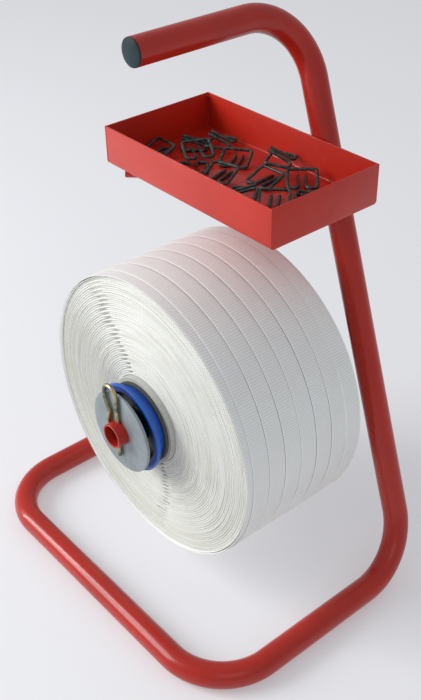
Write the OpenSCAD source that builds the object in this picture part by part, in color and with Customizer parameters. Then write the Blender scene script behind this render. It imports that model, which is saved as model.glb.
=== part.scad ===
// Portable strap coil stand: a bent tube frame carries a coil of woven strap
// on an axle, and a sheet metal tray of wire buckles above it.
// +Z is up, the coil's axle points to -Y, and the floor is z = 0.

/* [Frame tube] */
// Outer diameter of the frame tube and the axle tube
tube_d = 25; // [20:0.5:32]
// Wall of both tubes
tube_wall = 2; // [1.5:0.25:3]
// Centre-line radius of every bend
bend_r = 63; // [50:1:80]
// Distance between the centre lines of the two side rails
base_w = 363; // [300:1:440]
// Distance from the front rail to the rear end of the side rails
base_d = 256; // [240:1:320]
// Height of the handle's centre line
frame_h = 531; // [500:1:640]
// How far the mast leans in from the right rail
mast_lean = 203; // [150:1:250]
// How far the mast leans back
mast_back = 26; // [0:1:40]
// Length of the handle, from the mast's centre line to its open end
handle_l = 185; // [150:1:220]
// How far the rear post passes the axle
post_over = 24; // [18:1:40]
// Thickness of the rim of a tube plug
plug_rim = 2.5; // [2:0.5:4]
// Length of a tube plug inside its tube
plug_l = 16; // [10:1:25]

/* [Axle] */
// Height of the axle's centre line
axle_z = 188.5; // [175:0.5:215]
// Length of bare axle in front of the clip's hole
axle_nose = 8.3; // [6:0.1:15]
// Outer diameter of the stop ring on the axle
stop_d = 46; // [40:1:60]
// Thickness of the stop ring
stop_t = 3; // [2:0.5:5]
// Gap between the stop ring and the rear post
stop_back = 1.5; // [1:0.1:3]
// Throw of a weld bead
bead = 3; // [2:0.5:4]

/* [Hub and core] */
// Outer diameter of the core tube
core_d = 89.6; // [88:1:100]
// Bore of the core tube
core_bore = 76; // [72:1:80]
// Length of the core tube
core_l = 150; // [130:1:170]
// Outer diameter of a hub's flange
flange_d = 89.5; // [84:0.5:110]
// Thickness of a hub's flange
flange_t = 4.2; // [3:0.1:6]
// Length of the hub's neck between flange and ring
neck_l = 8.5; // [6:0.1:12]
// How far the hub's boss stands proud of its flange
boss_proud = 5.7; // [4:0.1:8]
// Outer diameter of the hub's boss
boss_d = 34; // [32:1:40]
// Length of the hub inside the core
spigot_l = 38; // [25:1:55]
// Outer diameter of the ring between hub and core
ring_d = 82; // [80:0.5:90]
// Thickness of that ring
ring_t = 3.1; // [2:0.1:5]
// Outer diameter of the retaining disc
disc_d = 83; // [70:1:100]
// Thickness of the retaining disc
disc_t = 3; // [2:0.1:5]

/* [Strap coil] */
// Outer diameter of the wound coil
coil_d = 290; // [200:1:320]
// Width of the strap
strap_w = 19; // [13:0.5:25]
// Gap between neighbouring lanes
lane_gap = 0.25; // [0.1:0.05:0.6]
// Number of full lanes across the coil
lanes = 7; // [4:1:7]
// Width of the part lane at the front
edge_lane = 8; // [4:0.5:12]

/* [Clip] */
// Wire diameter of the spring clip
clip_wire = 4; // [3:0.5:5]
// Length of the clip's straight leg below the axle's centre
clip_below = 27; // [22:1:35]
// Height of the eye's centre above the axle's centre
clip_eye_z = 41; // [38:1:55]
// Centre-line radius of the eye
clip_eye_r = 8.5; // [7:0.5:11]

/* [Tray] */
// Outer width of the tray
tray_w = 227; // [180:1:260]
// Outer depth of the tray
tray_d = 126; // [100:1:145]
// Outer height of the tray
tray_h = 37.5; // [30:0.5:50]
// Thickness of the tray's sheet
sheet_t = 1.5; // [1:0.1:2.5]
// Height of the tray's underside
tray_z = 388; // [378:1:430]
// How far the tray's middle lies left of the mast
tray_shift = 48; // [20:1:70]
// Diameter of the rod under the tray
rod_d = 7; // [5:0.5:10]
// How far the rod's end lies inside the tray's front and left edges
rod_inset = [24, 3]; // [2:1:60]

/* [Buckles] */
// Wire diameter of a buckle
buckle_wire = 3; // [2.5:0.1:3]
// Centre-line size of a buckle's frame
buckle_size = [27, 23]; // [18:0.5:27]

/* [Clearances] */
// Radial running clearance on the axle
run_gap = 0.06; // [0.02:0.01:0.09]
// Gap left between faces that turn past each other
side_gap = 0.5; // [0.3:0.1:1]
// Radial clearance of the hub in the core, and of the plugs in their tubes
slip_gap = 0.2; // [0.1:0.05:0.4]

/* [Hidden] */
$fn = 64;

tube_r = tube_d / 2;
tube_bore = tube_r - tube_wall;
base_x = base_w / 2;
handle_x = base_x - mast_lean;

// The frame's rearmost centre line is the start of the top bend; half of it centres the part on y
mast_rise = frame_h - tube_r;
top_cut = bend_r * tan((90 + atan2(mast_back, mast_rise)) / 2);
rear_reach = base_d + mast_back * (1 - top_cut / norm([mast_lean, mast_back, mast_rise]));
front_y = -rear_reach / 2;
rear_y = front_y + base_d;
mast_top = [handle_x, rear_y + mast_back, frame_h];
mast_foot = [base_x, rear_y, tube_r];
post_foot = [-base_x, rear_y, tube_r];
axle_rear = [0, rear_y, axle_z];
post_dir = unit(axle_rear - post_foot);
post_tip = axle_rear + post_dir * post_over;
handle_tip = mast_top - [0, handle_l, 0];
frame_path = [handle_tip, mast_top, mast_foot, [base_x, front_y, tube_r],
    [-base_x, front_y, tube_r], post_foot, post_tip];

// Stations along the axle, counted forward from the rear post
stop_rear_y = rear_y - tube_r - stop_back;
rear_boss_y = stop_rear_y - stop_t - side_gap;
hub_to_core = boss_proud + flange_t + neck_l + ring_t;
core_rear_y = rear_boss_y - hub_to_core;
core_front_y = core_rear_y - core_l;
front_boss_y = core_front_y - hub_to_core;
disc_rear_y = front_boss_y - side_gap;
clip_y = disc_rear_y - disc_t - side_gap - clip_wire / 2;
axle_tip_y = clip_y - axle_nose;
lane_pitch = strap_w + lane_gap;
coil_w = lanes * lane_pitch + edge_lane;
coil_rear_y = core_rear_y - (core_l - coil_w) / 2;

// The tray's back wall touches the mast's front at the height of the tray's underside
tray_on_mast = mast_foot + (mast_top - mast_foot) * (tray_z - tube_r) / mast_rise;
tray_back_y = tray_on_mast[1] - tube_r;
tray_x = tray_on_mast[0] - tray_shift - tray_w / 2;
tray_front_y = tray_back_y - tray_d;
mast_dir = unit(mast_top - mast_foot);
rod_z = tray_z - rod_d / 2;
rod_tip = [tray_x + rod_inset[0], tray_front_y + rod_inset[1], rod_z];
rod_root = mast_foot + (mast_top - mast_foot) * (rod_z - tube_r) / mast_rise;

// Where each loose buckle lies: x and y from the tray's inner corner, height of its
// lowest wire above the tray's floor, turn about Z, then tilt about its own long side
buckles = [
    [66, 48, 0.02, 50, 0], [27, 82, 0.02, -42, 0], [46, 100, 3.43, -64, 0],
    [98, 54, 7.05, 16, 201], [138, 46, 0.02, 130, 0], [186, 84, 0.02, -22, 0],
    [18, 44, 7.05, 0, 201], [52, 66, 11.25, 64, 201], [84, 85, 7.05, 33, 201],
    [133, 77, 7.05, 2, 201], [125, 104, 11.03, -61, -4], [160, 98, 8.85, 48, 201],
    [170, 54, 7.05, 42, 201]];

function unit(v) = v / norm(v);
function axes_along(z) = let(x = unit(cross(abs(z[2]) < 0.9 ? [0, 0, 1] : [0, 1, 0], z)))
    [x, cross(z, x), z];
function turn_at(path, i) =
    acos(unit(path[i] - path[i - 1]) * unit(path[i + 1] - path[i]));
function cut_at(path, i, radius) =
    i == 0 || i == len(path) - 1 ? 0 : radius * tan(turn_at(path, i) / 2);

// Direction from a run towards the inside of the bend at corner i
function side_after(path, i, heading) =
    cross(unit(cross(path[i] - path[i - 1], path[i + 1] - path[i])), heading);

// How far the bend at corner i is turned about the tube from the bend before it
function roll_at(path, i) = i == 1 ? 0 :
    let(heading = unit(path[i] - path[i - 1]), last = side_after(path, i - 1, heading),
        next = side_after(path, i, heading))
    atan2(cross(last, next) * heading, last * next);

// Moves its children to a point, with their X, Y and Z along the three axes given
module place(point, axes)
    multmatrix([for (row = [0:2]) [axes[0][row], axes[1][row], axes[2][row], point[row]]])
        children();

module round_section(outer, bore)
    difference() {
        circle(outer);
        if (bore > 0) circle(bore);
    }

// A tube or rod along a path of straight runs joined by bends of one radius, drawn from
// one end to the other. Each run laps a little over the bends, which are a hair thinner
module bent_tube(path, radius, outer, bore = 0) {
    heading = unit(path[1] - path[0]);
    side = side_after(path, 1, heading);
    place(path[0], [side, cross(heading, side), heading])
        bent_run(path, radius, outer, bore, 1);
}

module bent_run(path, radius, outer, bore, i) {
    lap = 0.05;
    hair = 0.005;
    before = i > 1 ? lap : 0;
    after = i < len(path) - 1 ? lap : 0;
    run = norm(path[i] - path[i - 1]) - cut_at(path, i - 1, radius) - cut_at(path, i, radius);
    translate([0, 0, -before]) linear_extrude(before + run + after) round_section(outer, bore);
    if (after > 0)
        translate([0, 0, run]) rotate([0, 0, roll_at(path, i)]) translate([radius, 0, 0]) {
            rotate([90, 0, 180]) rotate_extrude(angle = turn_at(path, i))
                translate([radius, 0]) round_section(outer - hair, bore > 0 ? bore + hair : 0);
            rotate([0, turn_at(path, i), 0]) translate([-radius, 0, 0])
                bent_run(path, radius, outer, bore, i + 1);
        }
}

// Turns a profile of [radius, distance] into a ring around the axle, running back from y
module on_axle(y, back = 1)
    translate([0, y, axle_z]) rotate([back * -90, 0, 0]) children();

module ring(outer, bore, length)
    difference() {
        cylinder(r = outer, h = length);
        translate([0, 0, -1]) cylinder(r = bore, h = length + 2);
    }

// A round steel bar along the mast's centre line, used to cope what meets the mast
module mast_bar(radius)
    place(mast_foot, axes_along(mast_dir)) cylinder(r = radius, h = norm(mast_top - mast_foot));

module post_bar(radius)
    place(post_foot, axes_along(post_dir)) cylinder(r = radius, h = norm(post_tip - post_foot));

module frame_tube()
    color("firebrick") bent_tube(frame_path, bend_r, tube_r, tube_bore);

// Push-in plug with a low domed face; its rim closes the tube end at the origin
module tube_plug() {
    dome_r = 2.4 * tube_d;
    rotate_extrude() intersection() {
        square([tube_r, plug_rim]);
        translate([0, plug_rim - dome_r]) circle(dome_r);
    }
    translate([0, 0, -plug_l]) cylinder(r = tube_bore - slip_gap, h = plug_l);
}

module handle_plug()
    color("darkslategray") place(handle_tip, axes_along([0, -1, 0])) tube_plug();

module post_plug()
    color("darkslategray") place(post_tip, axes_along(post_dir)) tube_plug();

module axle_tube()
    color("firebrick") difference() {
        on_axle(axle_tip_y) ring(tube_r, tube_bore, rear_y - axle_tip_y);
        post_bar(tube_r);
        translate([0, clip_y, axle_z - tube_d]) cylinder(r = clip_wire / 2 + run_gap, h = 2 * tube_d);
    }

// Collar of weld round the coped joint between axle and post
module axle_weld()
    color("firebrick") difference() {
        on_axle(stop_rear_y) ring(tube_r + bead, tube_r, rear_y - bead - stop_rear_y);
        post_bar(tube_r);
    }

module stop_ring()
    color("firebrick") on_axle(stop_rear_y - stop_t) ring(stop_d / 2, tube_r, stop_t);

// Flanged plastic hub, its boss face at 0 and its spigot end at the far end
module hub() {
    bore = tube_r + run_gap;
    spigot = core_bore / 2 - slip_gap;
    cup = spigot - 3.5;
    rim = flange_d / 2;
    flange_back = boss_proud + flange_t;
    floor_at = boss_proud + 12;
    end = hub_to_core + spigot_l;
    rotate_extrude() polygon([[bore, 0], [boss_d / 2, 0], [boss_d / 2, floor_at], [cup, floor_at],
        [cup + 1.5, boss_proud + 2.2], [rim - 2.4, boss_proud], [rim, boss_proud],
        [rim, flange_back], [spigot, flange_back], [spigot, end], [cup, end],
        [cup, floor_at + 3], [boss_d / 2, floor_at + 3], [boss_d / 2, end], [bore, end]]);
}

module front_hub() color("royalblue") on_axle(front_boss_y) hub();

module rear_hub() color("royalblue") on_axle(rear_boss_y, -1) hub();

module front_ring()
    color("dimgray") on_axle(core_front_y - ring_t) ring(ring_d / 2, core_bore / 2, ring_t);

module rear_ring()
    color("dimgray") on_axle(core_rear_y) ring(ring_d / 2, core_bore / 2, ring_t);

module core_tube()
    color("tan") on_axle(core_front_y) ring(core_d / 2, core_bore / 2, core_l);

// Wound strap: a ring with a shallow groove between neighbouring lanes
module strap_coil() {
    groove = 0.6;
    outer = coil_d / 2;
    lane_ends = [for (i = [1:lanes]) i * lane_pitch];
    color("whitesmoke") on_axle(coil_rear_y, -1)
        rotate_extrude() polygon(concat([[core_d / 2, 0], [outer, 0]],
            [for (z = lane_ends) each
                [[outer, z - groove], [outer - groove, z], [outer, z + groove]]],
            [[outer, coil_w], [core_d / 2, coil_w]]));
}

module retaining_disc()
    color("lightslategray") on_axle(disc_rear_y - disc_t) ring(disc_d / 2, tube_r + run_gap, disc_t);

// Hairpin clip: a straight leg through the axle, an eye above it and a leg that hugs the axle
module spring_clip() {
    hug = tube_r + clip_wire / 2 + side_gap;
    top = clip_eye_z + clip_eye_r;
    left = -2 * clip_eye_r;
    path = [[0, -clip_below], [0, top], [left, top], [left - 1, clip_eye_z - 7],
        [3.5 - hug, tube_r + 7], [-hug, 4], [-hug - 1.5, 8 - clip_below]];
    color("goldenrod") bent_tube([for (p = path) [p[0], clip_y, axle_z + p[1]]],
        clip_eye_r - 0.1, clip_wire / 2);
}

module tray()
    color("crimson") translate([tray_x, tray_front_y, tray_z]) difference() {
        cube([tray_w, tray_d, tray_h]);
        translate([sheet_t, sheet_t, sheet_t])
            cube([tray_w - 2 * sheet_t, tray_d - 2 * sheet_t, tray_h]);
    }

// Two beads that run up the corners between the mast and the tray's back wall
module tray_weld()
    color("firebrick") difference() {
        intersection() {
            mast_bar(tube_r + bead);
            translate([tray_x, tray_back_y, tray_z + 2]) cube([tray_w, bead, tray_h - 3]);
        }
        mast_bar(tube_r);
    }

module tray_rod()
    color("firebrick") difference() {
        place(rod_tip, axes_along(unit(rod_root - rod_tip)))
            cylinder(d = rod_d, h = norm(rod_root - rod_tip));
        mast_bar(tube_r);
    }

// Fillet of weld round the rod where it meets the mast, open on top, under the tray
module rod_weld()
    color("firebrick") difference() {
        intersection() {
            place(rod_tip, axes_along(unit(rod_root - rod_tip)))
                ring(rod_d / 2 + bead / 2, rod_d / 2, norm(rod_root - rod_tip));
            mast_bar(tube_r + bead);
            translate([tray_x, tray_front_y, 0]) cube([tray_w, 2 * tray_d, tray_z - 0.5]);
        }
        mast_bar(tube_r);
    }

// One buckle: a wire frame open in the middle of one long side, where both ends turn
// back over it as rising prongs
module buckle() {
    x = buckle_size[0] / 2;
    y = buckle_size[1] / 2;
    prong_x = x - 9.9;
    rise = 8.5;
    translate([0, 0, buckle_wire / 2])
        bent_tube([[-prong_x, -y, rise], [-prong_x, y, 0], [-x, y, 0], [-x, -y, 0],
            [x, -y, 0], [x, y, 0], [prong_x, y, 0], [prong_x, -y, rise]], 3.2, buckle_wire / 2);
}

module wire_buckles()
    color("darkslategray") for (b = buckles)
        translate([tray_x + sheet_t + b[0], tray_front_y + sheet_t + b[1], tray_z + sheet_t + b[2]])
            rotate([0, 0, b[3]]) rotate([b[4], 0, 0]) buckle();

frame_tube();
handle_plug();
post_plug();
axle_tube();
axle_weld();
stop_ring();
rear_hub();
rear_ring();
core_tube();
strap_coil();
front_ring();
front_hub();
retaining_disc();
spring_clip();
tray();
tray_weld();
tray_rod();
rod_weld();
wire_buckles();
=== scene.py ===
import math
import bmesh
import bpy
from mathutils import Matrix, Vector


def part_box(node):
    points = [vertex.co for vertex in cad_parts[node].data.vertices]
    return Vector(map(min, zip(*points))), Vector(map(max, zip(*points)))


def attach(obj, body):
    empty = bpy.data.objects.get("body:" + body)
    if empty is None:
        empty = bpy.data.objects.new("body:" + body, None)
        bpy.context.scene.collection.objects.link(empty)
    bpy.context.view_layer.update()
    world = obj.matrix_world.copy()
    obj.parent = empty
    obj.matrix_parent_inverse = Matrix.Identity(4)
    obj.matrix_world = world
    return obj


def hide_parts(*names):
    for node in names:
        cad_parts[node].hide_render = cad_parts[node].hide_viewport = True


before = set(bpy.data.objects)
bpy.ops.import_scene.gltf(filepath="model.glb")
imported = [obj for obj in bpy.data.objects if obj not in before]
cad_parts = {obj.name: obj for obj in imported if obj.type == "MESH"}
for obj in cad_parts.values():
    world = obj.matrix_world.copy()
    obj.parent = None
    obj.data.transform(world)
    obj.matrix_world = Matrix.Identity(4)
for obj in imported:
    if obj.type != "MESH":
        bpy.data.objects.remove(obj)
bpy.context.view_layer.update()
scene = bpy.context.scene
scene.view_settings.view_transform = "Standard"
print("frame loaded:", len(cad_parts), "nodes")


# camera: place in metres, angles in degrees, lens in millimetres
view = {
    "place": (0.6355, -0.5129, 0.8086),
    "azimuth": 50.35,
    "elevation": 35.03,
    "roll": -1.19,
    "lens": 53.57,
}


def makeCamera(v):
    swing, tilt, roll = (math.radians(v[k]) for k in ("azimuth", "elevation", "roll"))
    back = Vector((math.sin(swing) * math.cos(tilt), -math.cos(swing) * math.cos(tilt), math.sin(tilt)))
    level = (-back).cross(Vector((0, 0, 1))).normalized()
    above = level.cross(-back)
    right = level * math.cos(roll) + above * math.sin(roll)
    up = above * math.cos(roll) - level * math.sin(roll)
    data = bpy.data.cameras.new("camera")
    data.lens = v["lens"]
    camera = bpy.data.objects.new("camera", data)
    axes = Matrix((right, up, back)).transposed().to_4x4()
    camera.matrix_world = Matrix.Translation(v["place"]) @ axes
    scene.collection.objects.link(camera)
    scene.camera = camera


makeCamera(view)


# helpers for node trees and pieces
def addNode(tree, kind, wires=None, **settings):
    node = tree.nodes.new(kind)
    for key, value in settings.items():
        setattr(node, key, value)
    for key, value in (wires or {}).items():
        socket = node.inputs[key]
        if isinstance(value, bpy.types.NodeSocket):
            tree.links.new(value, socket)
        elif value is not None:
            socket.default_value = value
    return node


def calc(tree, operation, *values):
    return addNode(tree, "ShaderNodeMath", dict(enumerate(values)), operation=operation).outputs[0]


def times(tree, first, second):
    return calc(tree, "MULTIPLY", first, second)


def plus(tree, first, second):
    return calc(tree, "ADD", first, second)


def minus(tree, first, second):
    return calc(tree, "SUBTRACT", first, second)


def joinXYZ(tree, *parts):
    return addNode(tree, "ShaderNodeCombineXYZ", dict(enumerate(parts))).outputs[0]


def splitXYZ(tree, vector):
    return addNode(tree, "ShaderNodeSeparateXYZ", {0: vector}).outputs


def store(tree, geometry, label, value):
    return addNode(tree, "GeometryNodeStoreNamedAttribute", {0: geometry, "Name": label, "Value": value},
                   data_type="FLOAT", domain="POINT").outputs[0]


def startTree(name, floats, ints):
    tree = bpy.data.node_groups.new(name, "GeometryNodeTree")
    face = tree.interface
    face.new_socket("Geometry", in_out="INPUT", socket_type="NodeSocketGeometry")
    for kind, labels in (("NodeSocketFloat", floats), ("NodeSocketInt", ints)):
        for label in labels:
            face.new_socket(label, in_out="INPUT", socket_type=kind)
    face.new_socket("Geometry", in_out="OUTPUT", socket_type="NodeSocketGeometry")
    return tree, tree.nodes.new("NodeGroupInput").outputs


def endTree(tree, geometry, material):
    real = addNode(tree, "GeometryNodeRealizeInstances", {0: geometry})
    done = addNode(tree, "GeometryNodeSetMaterial", {0: real.outputs[0], "Material": material})
    addNode(tree, "NodeGroupOutput", {0: done.outputs[0]})


def plainMesh(source, layers=False):
    # the object's mesh with its modifiers worked in
    graph = bpy.context.evaluated_depsgraph_get()
    return bpy.data.meshes.new_from_object(
        source.evaluated_get(graph), preserve_all_data_layers=layers, depsgraph=graph)


def runTree(name, tree, values, points=(), edges=()):
    # the tree works on a small host mesh; its result becomes a plain mesh of its own
    mesh = bpy.data.meshes.new(name + "Host")
    mesh.from_pydata([tuple(p) for p in points], list(edges), [])
    host = bpy.data.objects.new(name + "Host", mesh)
    scene.collection.objects.link(host)
    build = host.modifiers.new("build", "NODES")
    build.node_group = tree
    for item in tree.interface.items_tree:
        if item.in_out == "INPUT" and item.name != "Geometry":
            build[item.identifier] = values[item.name]
    result = plainMesh(host, layers=True)
    host.modifiers.remove(build)
    bpy.data.objects.remove(host)
    result.name = name
    return addPiece(name, result)


def addPiece(name, mesh, material=None):
    piece = bpy.data.objects.new(name, mesh)
    scene.collection.objects.link(piece)
    if material:
        mesh.materials.clear()
        mesh.materials.append(material)
    return piece


def tidyMesh(piece, merge=1e-6, sharp=40):
    work = bmesh.new()
    work.from_mesh(piece.data)
    bmesh.ops.remove_doubles(work, verts=work.verts, dist=merge)
    bmesh.ops.dissolve_degenerate(work, edges=work.edges, dist=merge)
    bmesh.ops.recalc_face_normals(work, faces=work.faces)
    for face in work.faces:
        face.smooth = True
    work.to_mesh(piece.data)
    work.free()
    piece.data.set_sharp_from_angle(angle=math.radians(sharp))
    return piece


def settle(piece, body, slot, *replaced):
    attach(piece, body)
    if replaced:
        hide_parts(*replaced)
    print("  ", piece.name, len(piece.data.polygons), "faces")
    return piece


# helpers for materials
def newMaterial(name, color=None, **fixed):
    material = bpy.data.materials.new(name)
    material.use_nodes = True
    tree = material.node_tree
    shader = tree.nodes["Principled BSDF"]
    if color:
        shader.inputs["Base Color"].default_value = (*color, 1)
    for label, value in fixed.items():
        shader.inputs[label.replace("_", " ").title().replace("Ior", "IOR")].default_value = value
    return material, tree, shader


def objectPoint(tree, scale=(1, 1, 1), shift=(0, 0, 0)):
    coordinate = addNode(tree, "ShaderNodeTexCoord").outputs["Object"]
    return addNode(tree, "ShaderNodeMapping", {
        "Vector": coordinate, "Scale": scale, "Location": shift}).outputs[0]


def splitPoint(tree):
    return splitXYZ(tree, addNode(tree, "ShaderNodeTexCoord").outputs["Object"])


def grain(tree, point, scale, detail=3.0, rough=0.55):
    return addNode(tree, "ShaderNodeTexNoise", {
        "Vector": point, "Scale": scale, "Detail": detail, "Roughness": rough}).outputs["Fac"]


def spread(tree, value, low, high, start=0.3, end=0.7):
    wires = {"Value": value, "From Min": start, "From Max": end, "To Min": low, "To Max": high}
    return addNode(tree, "ShaderNodeMapRange", wires).outputs[0]


def blendColor(tree, factor, first, second):
    node = addNode(tree, "ShaderNodeMix", data_type="RGBA")
    for index, value in ((0, factor), (6, first), (7, second)):
        if isinstance(value, bpy.types.NodeSocket):
            tree.links.new(value, node.inputs[index])
        else:
            node.inputs[index].default_value = value if index == 0 else (*value, 1)
    return node.outputs[2]


def addBump(tree, shader, layers):
    # each layer is (height socket, depth in metres)
    normal = None
    for height, depth in layers:
        wires = {"Height": height, "Distance": depth, "Strength": 1.0}
        if normal:
            wires["Normal"] = normal
        normal = addNode(tree, "ShaderNodeBump", wires).outputs[0]
    tree.links.new(normal, shader.inputs["Normal"])


def feed(tree, shader, label, value):
    tree.links.new(value, shader.inputs[label])


def axleRadius(tree):
    # distance from the axle's line, for marks that run round it
    part = splitPoint(tree)
    x2 = calc(tree, "POWER", part[0], 2.0)
    z2 = calc(tree, "POWER", minus(tree, part[2], axleZ), 2.0)
    return calc(tree, "SQRT", plus(tree, x2, z2))


def circles(tree, perMetre):
    return calc(tree, "SINE", times(tree, axleRadius(tree), perMetre * 2 * math.pi))


# places from the frame
axleLow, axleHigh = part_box("axle_tube")
hubLow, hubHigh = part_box("front_hub")
trayLow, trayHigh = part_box("tray")
coilLow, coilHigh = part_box("strap_coil")
coreLow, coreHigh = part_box("core_tube")
axleZ = (axleLow.z + axleHigh.z) / 2
tubeRadius = (axleHigh.x - axleLow.x) / 2
wireSizes = {"clip": 0.004, "buckle": 0.003}
coreWall = 0.0068
coreRadius = (coreHigh.x - coreLow.x) / 2


# finishes: scales are per metre, depths in metres
enamel = {
    "red": (0.47, 0.020, 0.009), "deepRed": (0.35, 0.012, 0.006), "dust": (0.66, 0.09, 0.06),
    "cloudScale": 11.0, "deepShare": 0.75, "roughness": (0.24, 0.36),
    "peelScale": 260.0, "peelDepth": 0.00006, "sagScale": 60.0, "sagDepth": 0.00025,
    "rubScale": 170.0, "rubStretch": (1.0, 0.22, 0.6), "rubLimits": (0.66, 0.80),
    "rubHeight": 0.05, "rubAbove": 0.25, "rubColor": 0.35, "rubRough": 0.25,
}


def makeEnamel(name, f):
    material, tree, shader = newMaterial(name, coat_weight=0.3, coat_roughness=0.06, specular_ior_level=0.3)
    point = objectPoint(tree)
    cloud = grain(tree, point, f["cloudScale"], detail=4.0)
    color = blendColor(tree, spread(tree, cloud, 0.0, f["deepShare"]), f["red"], f["deepRed"])
    # dull rub marks: thin stretched scratches, more of them down by the floor
    rub = grain(tree, objectPoint(tree, f["rubStretch"]), f["rubScale"], detail=5.0, rough=0.7)
    low = spread(tree, splitPoint(tree)[2], 1.0, f["rubAbove"], 0.0, f["rubHeight"])
    mark = times(tree, spread(tree, rub, 0.0, 1.0, *f["rubLimits"]), low)
    color = blendColor(tree, times(tree, mark, f["rubColor"]), color, f["dust"])
    feed(tree, shader, "Base Color", color)
    rough = plus(tree, spread(tree, cloud, *f["roughness"]), times(tree, mark, f["rubRough"]))
    feed(tree, shader, "Roughness", rough)
    addBump(tree, shader, [(grain(tree, point, f["sagScale"], detail=2.0), f["sagDepth"]),
                           (grain(tree, point, f["peelScale"]), f["peelDepth"])])
    return material


tubeEnamel = makeEnamel("tubeEnamel", enamel)
trayEnamel = makeEnamel("trayEnamel", dict(
    enamel, roughness=(0.34, 0.46), red=(0.54, 0.022, 0.008), deepRed=(0.43, 0.014, 0.006), sagScale=90.0))


def makeHubPlastic():
    # the dish colour is painted shade for the hub's recess
    f = {"blue": (0.004, 0.10, 0.50), "deep": (0.003, 0.065, 0.38), "deepShare": 0.6, "cloudScale": 38.0,
         "dish": (0.001, 0.014, 0.026), "dishShadeEdge": (0.0350, 0.0372), "roughScale": 120.0,
         "roughness": (0.30, 0.46), "toolLines": 900.0, "lineDepth": 0.000012,
         "grainScale": 700.0, "grainDepth": 0.00003}
    material, tree, shader = newMaterial(
        "hubPlastic", coat_weight=0.15, coat_roughness=0.2, subsurface_weight=0.04)
    point = objectPoint(tree)
    cloud = grain(tree, point, f["cloudScale"])
    color = blendColor(tree, spread(tree, cloud, 0.0, f["deepShare"]), f["blue"], f["deep"])
    # everything within the dish's rim is painted near-black: painted shade in the recess
    dishShade = spread(tree, axleRadius(tree), 1.0, 0.0, *f["dishShadeEdge"])
    feed(tree, shader, "Base Color", blendColor(tree, dishShade, color, f["dish"]))
    feed(tree, shader, "Roughness", spread(tree, grain(tree, point, f["roughScale"]), *f["roughness"]))
    addBump(tree, shader, [(circles(tree, f["toolLines"]), f["lineDepth"]),
                           (grain(tree, point, f["grainScale"]), f["grainDepth"])])
    return material


def makeRingFibre():
    f = {"dark": (0.060, 0.056, 0.046), "light": (0.12, 0.115, 0.10), "fleckScale": 420.0,
         "fleckDepth": 0.00008, "roughness": (0.6, 0.85)}
    material, tree, shader = newMaterial("ringFibre", specular_ior_level=0.3)
    fleck = grain(tree, objectPoint(tree), f["fleckScale"], detail=5.0, rough=0.7)
    feed(tree, shader, "Base Color", blendColor(tree, spread(tree, fleck, 0.0, 1.0), f["dark"], f["light"]))
    feed(tree, shader, "Roughness", spread(tree, fleck, *f["roughness"]))
    addBump(tree, shader, [(fleck, f["fleckDepth"])])
    return material


def makeCoreBoard():
    f = {"light": (0.58, 0.59, 0.55), "dark": (0.40, 0.40, 0.36), "darkShare": 0.5, "roughScale": 80.0,
         "roughness": (0.75, 0.92), "fibreScale": 300.0, "fibreStretch": (1, 0.2, 1), "fibreDepth": 0.0001,
         "ply": 0.0011, "plyDepth": 0.00006}
    material, tree, shader = newMaterial("coreBoard", specular_ior_level=0.25)
    fibre = grain(tree, objectPoint(tree, f["fibreStretch"]), f["fibreScale"], detail=5.0, rough=0.7)
    ply = circles(tree, 1 / f["ply"])
    color = blendColor(tree, spread(tree, ply, 0.0, f["darkShare"], 0.2, 1.0), f["light"], f["dark"])
    color = blendColor(tree, spread(tree, fibre, 0.0, f["darkShare"]), color, f["dark"])
    feed(tree, shader, "Base Color", color)
    cloud = grain(tree, objectPoint(tree), f["roughScale"])
    feed(tree, shader, "Roughness", spread(tree, cloud, *f["roughness"]))
    addBump(tree, shader, [(fibre, f["fibreDepth"]), (ply, f["plyDepth"])])
    return material


def makePlatedSteel():
    f = {"light": (0.30, 0.35, 0.37), "dark": (0.20, 0.24, 0.26), "darkShare": 0.8, "stainScale": 42.0,
         "stainDepth": 0.00006, "spangleScale": 330.0, "spangleRough": 0.05, "roughness": (0.36, 0.52),
         "toolLines": 1500.0, "lineDepth": 0.000008}
    material, tree, shader = newMaterial("platedSteel", metallic=0.35, specular_ior_level=0.5)
    point = objectPoint(tree)
    stain = grain(tree, point, f["stainScale"], detail=5.0, rough=0.65)
    spangle = addNode(tree, "ShaderNodeTexVoronoi", {
        "Vector": point, "Scale": f["spangleScale"]}).outputs["Distance"]
    color = blendColor(tree, spread(tree, stain, 0.0, f["darkShare"]), f["light"], f["dark"])
    feed(tree, shader, "Base Color", color)
    patches = times(tree, spangle, f["spangleRough"])
    feed(tree, shader, "Roughness", plus(tree, spread(tree, stain, *f["roughness"]), patches))
    addBump(tree, shader, [(circles(tree, f["toolLines"]), f["lineDepth"]), (stain, f["stainDepth"])])
    return material


def makeYellowZinc():
    f = {"gold": (0.50, 0.42, 0.22), "green": (0.13, 0.16, 0.11), "rose": (0.42, 0.27, 0.22),
         "roseShare": 0.5, "patchScale": 95.0, "patchLimits": (0.48, 0.64), "tintScale": 60.0,
         "tintLimits": (0.55, 0.7), "tintShift": (0.3, 0.1, 0.2), "roughness": (0.22, 0.36),
         "grainScale": 900.0, "grainDepth": 0.00003}
    material, tree, shader = newMaterial("yellowZinc", metallic=0.95)
    point = objectPoint(tree)
    patch = grain(tree, point, f["patchScale"])
    tint = grain(tree, objectPoint(tree, shift=f["tintShift"]), f["tintScale"], detail=2.0)
    color = blendColor(tree, spread(tree, patch, 0.0, 1.0, *f["patchLimits"]), f["green"], f["gold"])
    color = blendColor(tree, spread(tree, tint, 0.0, f["roseShare"], *f["tintLimits"]), color, f["rose"])
    feed(tree, shader, "Base Color", color)
    feed(tree, shader, "Roughness", spread(tree, patch, *f["roughness"]))
    addBump(tree, shader, [(grain(tree, point, f["grainScale"]), f["grainDepth"])])
    return material


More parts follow.
